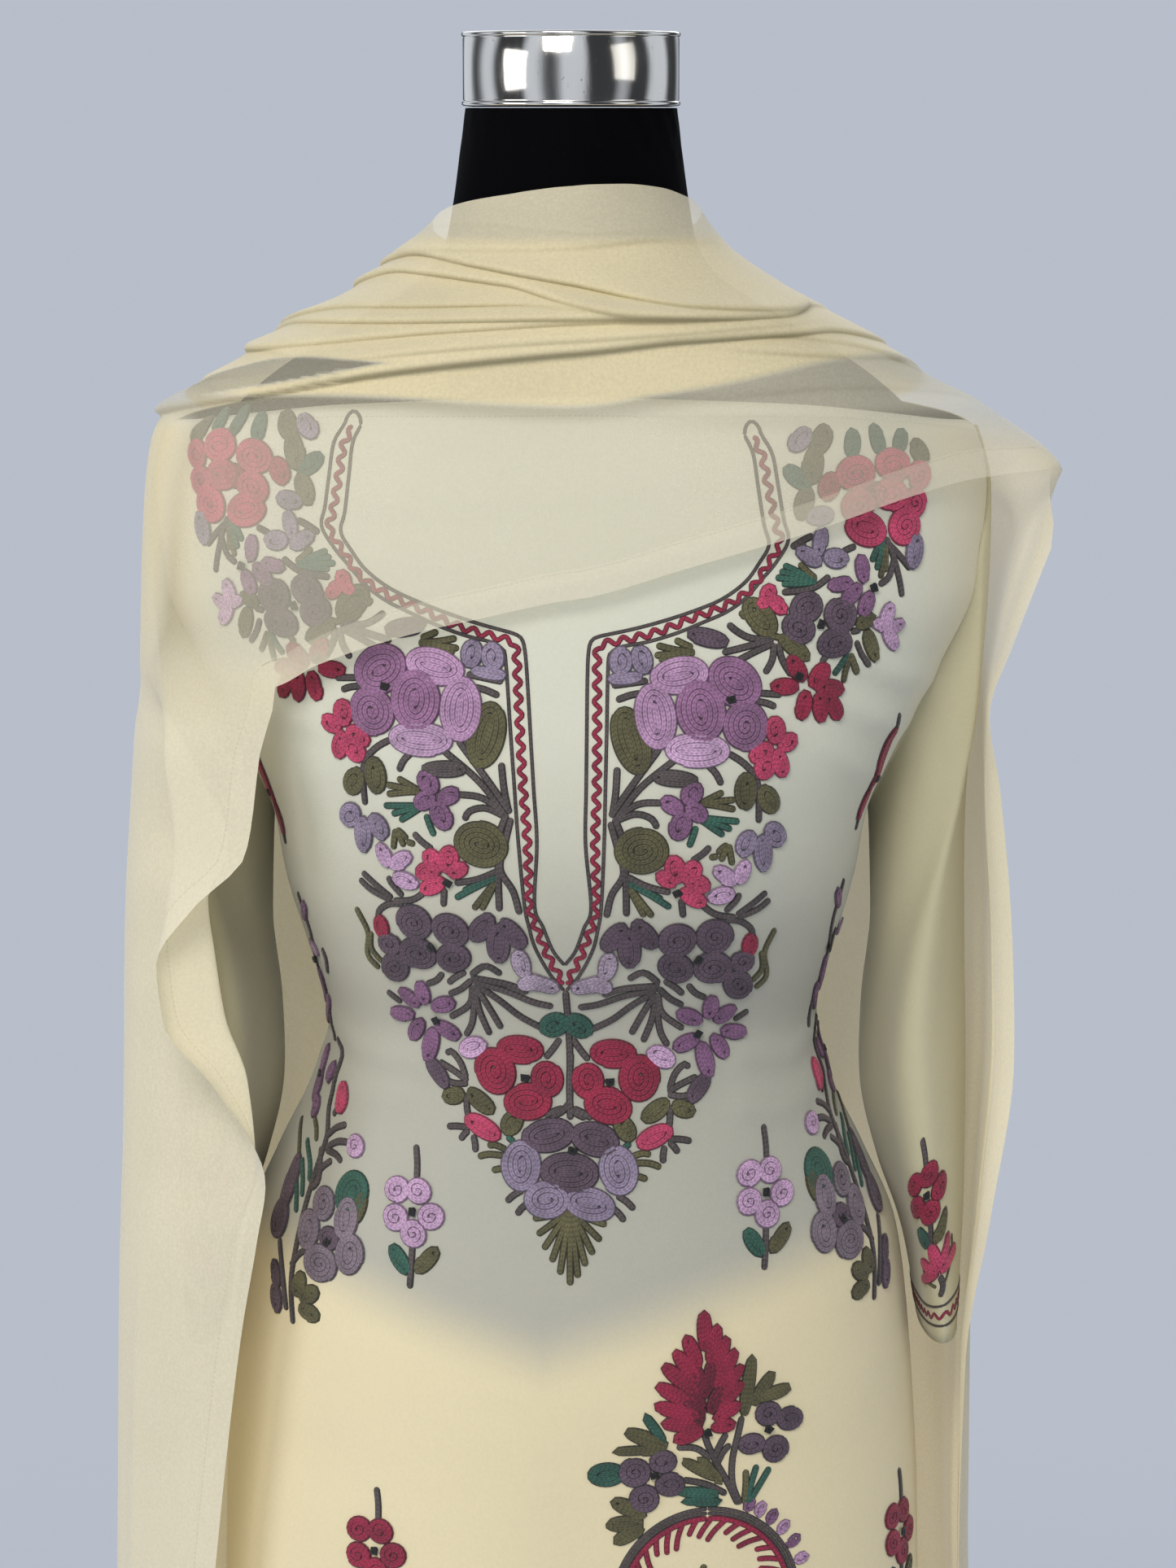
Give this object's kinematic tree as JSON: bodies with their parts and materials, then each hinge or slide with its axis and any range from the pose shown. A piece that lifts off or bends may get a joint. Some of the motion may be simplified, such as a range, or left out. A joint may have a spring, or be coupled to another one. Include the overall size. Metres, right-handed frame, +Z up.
{
  "type": "salwar kameez suit on dress form",
  "caption": "Cream georgette salwar kameez suit with chain-stitch flowers, its dupatta draped over the chest, on a limbless black dress form with a round base",
  "frame": {"origin": "centre of the stand's underside, on the floor", "axes": "+Z up; the suit faces -Y; +X is on the right of a viewer in front of it"},
  "size_m": [0.4972, 0.38, 1.516],
  "materials": {
    "kameez_georgette": "matt crinkled georgette with chain-stitch embroidery",
    "dupatta_georgette": "sheer matt georgette with a doubled hem",
    "salwar_cloth": "matt plain weave",
    "form_cover": "matt black stretch cover",
    "chrome": "polished, lightly scuffed"
  },
  "bodies": {
    "root": {"base": "chrome", "dupatta_front": "dupatta_georgette", "dupatta_left": "dupatta_georgette", "dupatta_right": "dupatta_georgette", "form_torso": "form_cover", "kameez_back": "kameez_georgette", "kameez_front": "kameez_georgette", "neck_cap": "chrome", "pole": "chrome", "pole_collar": "chrome", "salwar_belt": "salwar_cloth", "salwar_cuff_left": "salwar_cloth", "salwar_cuff_right": "salwar_cloth", "salwar_gore_left": "salwar_cloth", "salwar_gore_right": "salwar_cloth", "salwar_leg_left": "salwar_cloth", "salwar_leg_right": "salwar_cloth", "sleeve_left": "kameez_georgette", "sleeve_right": "kameez_georgette"}
  },
  "joints": []
}
